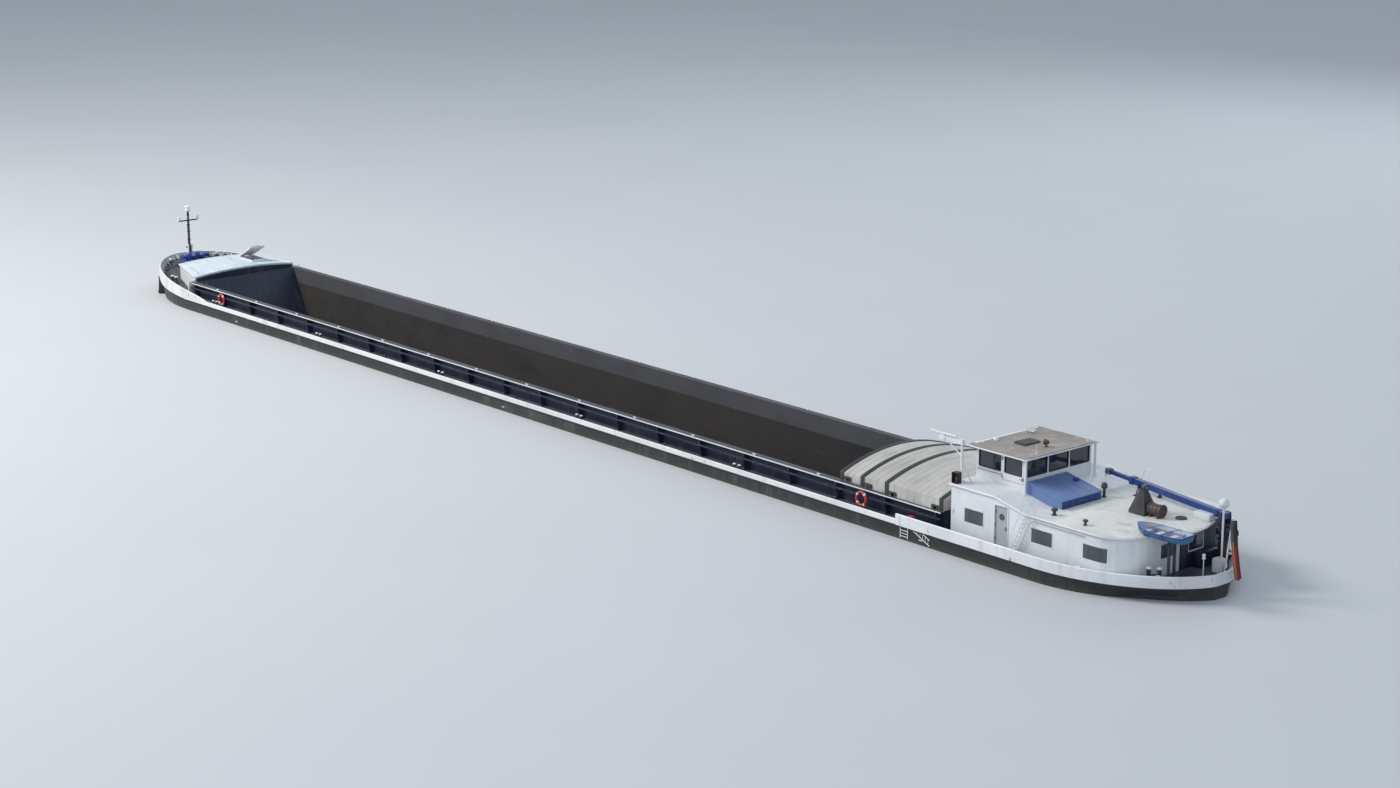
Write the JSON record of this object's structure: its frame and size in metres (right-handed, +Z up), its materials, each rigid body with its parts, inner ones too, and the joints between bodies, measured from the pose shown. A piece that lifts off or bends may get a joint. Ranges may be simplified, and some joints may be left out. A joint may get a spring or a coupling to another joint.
{
  "type": "river barge, 1:10 scale model",
  "caption": "Self-propelled inland cargo barge with an open hold, sliding hatch covers, aft house and wheelhouse, deck crane, folding mast and twin rudders, as a 1:10 model.",
  "frame": {"origin": "amidships on the centreline, on the flat bottom", "axes": "+X towards the bow, +Y to port, +Z up"},
  "size_m": [8.34, 0.86, 0.74],
  "materials": {
    "black": "satin",
    "white": "satin",
    "navy": "satin",
    "pale_blue": "matte",
    "cream": "matte",
    "cover": "satin",
    "crane_blue": "satin",
    "charcoal": "satin",
    "hold": "matte",
    "bronze": "polished",
    "steel": "satin",
    "ensign": "woven",
    "seat": "grained"
  },
  "bodies": {
    "ship": {"hull_bow_section": "black", "hull_stern_section": "black", "hull_double_bottom": "hold", "hull_wing_port": "black", "hull_wing_starboard": "black", "coaming_port": "navy", "coaming_starboard": "navy", "coaming_fore": "navy", "hold_bulkhead_fore": "navy", "coaming_aft": "navy", "bulwark_bow": "white", "bulwark_stern": "white", "strake_port": "white", "strake_starboard": "white", "trunk_walls": "white", "trunk_roof": "pale_blue", "companion_hood": "white", "windlass_frame": "navy", "mast_tabernacle": "white", "anchor_port": "charcoal", "anchor_starboard": "charcoal", "bollards_bow_port": "charcoal", "bollards_bow_starboard": "charcoal", "bollards_stern_port": "charcoal", "bollards_stern_starboard": "charcoal", "house_walls": "white", "house_roof_fore": "white", "house_roof_aft": "cream", "wheelhouse_walls": "white", "wheelhouse_roof": "cream", "console": "charcoal", "helm_chair": "seat", "radar_mast": "white", "funnel": "charcoal", "hose_drum": "charcoal", "stair_hood": "crane_blue", "workboat": "crane_blue", "boat_stand": "navy", "crane_pillar": "navy", "flagstaff": "white", "ensign": "ensign"},
    "lid": {"companion_lid": "white"},
    "drums": {"windlass_drums": "navy"},
    "mast": {"mast": "white"},
    "house_door_p": {"house_door_port": "steel"},
    "house_door_s": {"house_door_starboard": "steel"},
    "cabin_door_p": {"wheelhouse_door_port": "white"},
    "cabin_door_s": {"wheelhouse_door_starboard": "white"},
    "scanner": {"radar_scanner": "white"},
    "crane_column": {"crane_head": "navy"},
    "boom": {"crane_boom": "crane_blue"},
    "extension": {"crane_extension": "crane_blue"},
    "cover_low": {"hatch_cover_1": "cover"},
    "cover_middle": {"hatch_cover_2": "cover"},
    "cover_high": {"hatch_cover_3": "cover"},
    "propeller": {"propeller": "bronze"},
    "rudder_p": {"rudder_port": "charcoal"},
    "rudder_s": {"rudder_starboard": "charcoal"}
  },
  "joints": [
    {"name": "propeller_turn", "type": "hinge", "parent": "ship", "child": "propeller", "pos_m": [-3.906, 0, 0.085], "axis": [1, 0, 0], "continuous": true},
    {"name": "steer_port", "type": "hinge", "parent": "ship", "child": "rudder_p", "pos_m": [-4.008, 0.062, 0.1], "axis": [0, 0, 1], "range_deg": [-45, 45]},
    {"name": "steer_starboard", "type": "hinge", "parent": "ship", "child": "rudder_s", "pos_m": [-4.008, -0.062, 0.1], "axis": [0, 0, 1], "range_deg": [-45, 45]},
    {"name": "mast_fold", "type": "hinge", "parent": "ship", "child": "mast", "pos_m": [4.105, 0, 0.475], "axis": [0, -1, 0], "range_deg": [0, 88]},
    {"name": "companion_lid_swing", "type": "hinge", "parent": "ship", "child": "lid", "pos_m": [3.68, -0.161, 0.463], "axis": [0, 1, 0], "range_deg": [-28, 50]},
    {"name": "windlass_turn", "type": "hinge", "parent": "ship", "child": "drums", "pos_m": [4.04, 0, 0.42501], "axis": [0, 1, 0], "continuous": true},
    {"name": "house_door_port_swing", "type": "hinge", "parent": "ship", "child": "house_door_p", "pos_m": [-3.23, 0.352, 0.4], "axis": [0, 0, 1], "range_deg": [0, 95]},
    {"name": "house_door_starboard_swing", "type": "hinge", "parent": "ship", "child": "house_door_s", "pos_m": [-3.23, -0.352, 0.4], "axis": [0, 0, -1], "range_deg": [0, 95]},
    {"name": "cabin_door_port_swing", "type": "hinge", "parent": "ship", "child": "cabin_door_p", "pos_m": [-3.13, 0.212, 0.615], "axis": [0, 0, -1], "range_deg": [0, 100]},
    {"name": "cabin_door_starboard_swing", "type": "hinge", "parent": "ship", "child": "cabin_door_s", "pos_m": [-3.13, -0.212, 0.615], "axis": [0, 0, 1], "range_deg": [0, 100]},
    {"name": "scanner_turn", "type": "hinge", "parent": "ship", "child": "scanner", "pos_m": [-2.872, 0.315, 0.732], "axis": [0, 0, 1], "continuous": true},
    {"name": "crane_slew", "type": "hinge", "parent": "ship", "child": "crane_column", "pos_m": [-4.035, -0.165, 0.45], "axis": [0, 0, 1], "range_deg": [-200, 0]},
    {"name": "crane_luff", "type": "hinge", "parent": "crane_column", "child": "boom", "pos_m": [-4.035, -0.165, 0.535], "axis": [-0.1132, -0.9936, 0], "range_deg": [0, 68]},
    {"name": "crane_telescope", "type": "slide", "parent": "boom", "child": "extension", "axis": [0.993, -0.1131, 0.0349], "range_m": [0, 0.35]},
    {"name": "cover_low_slide", "type": "slide", "parent": "ship", "child": "cover_low", "axis": [1, 0, 0], "range_m": [0, 5.66]},
    {"name": "cover_middle_slide", "type": "slide", "parent": "ship", "child": "cover_middle", "axis": [1, 0, 0], "range_m": [0, 5.8]},
    {"name": "cover_high_slide", "type": "slide", "parent": "ship", "child": "cover_high", "axis": [1, 0, 0], "range_m": [0, 5.96]}
  ],
  "couplings": [
    {"joint": "steer_starboard", "follows": "steer_port", "ratio": 1}
  ]
}
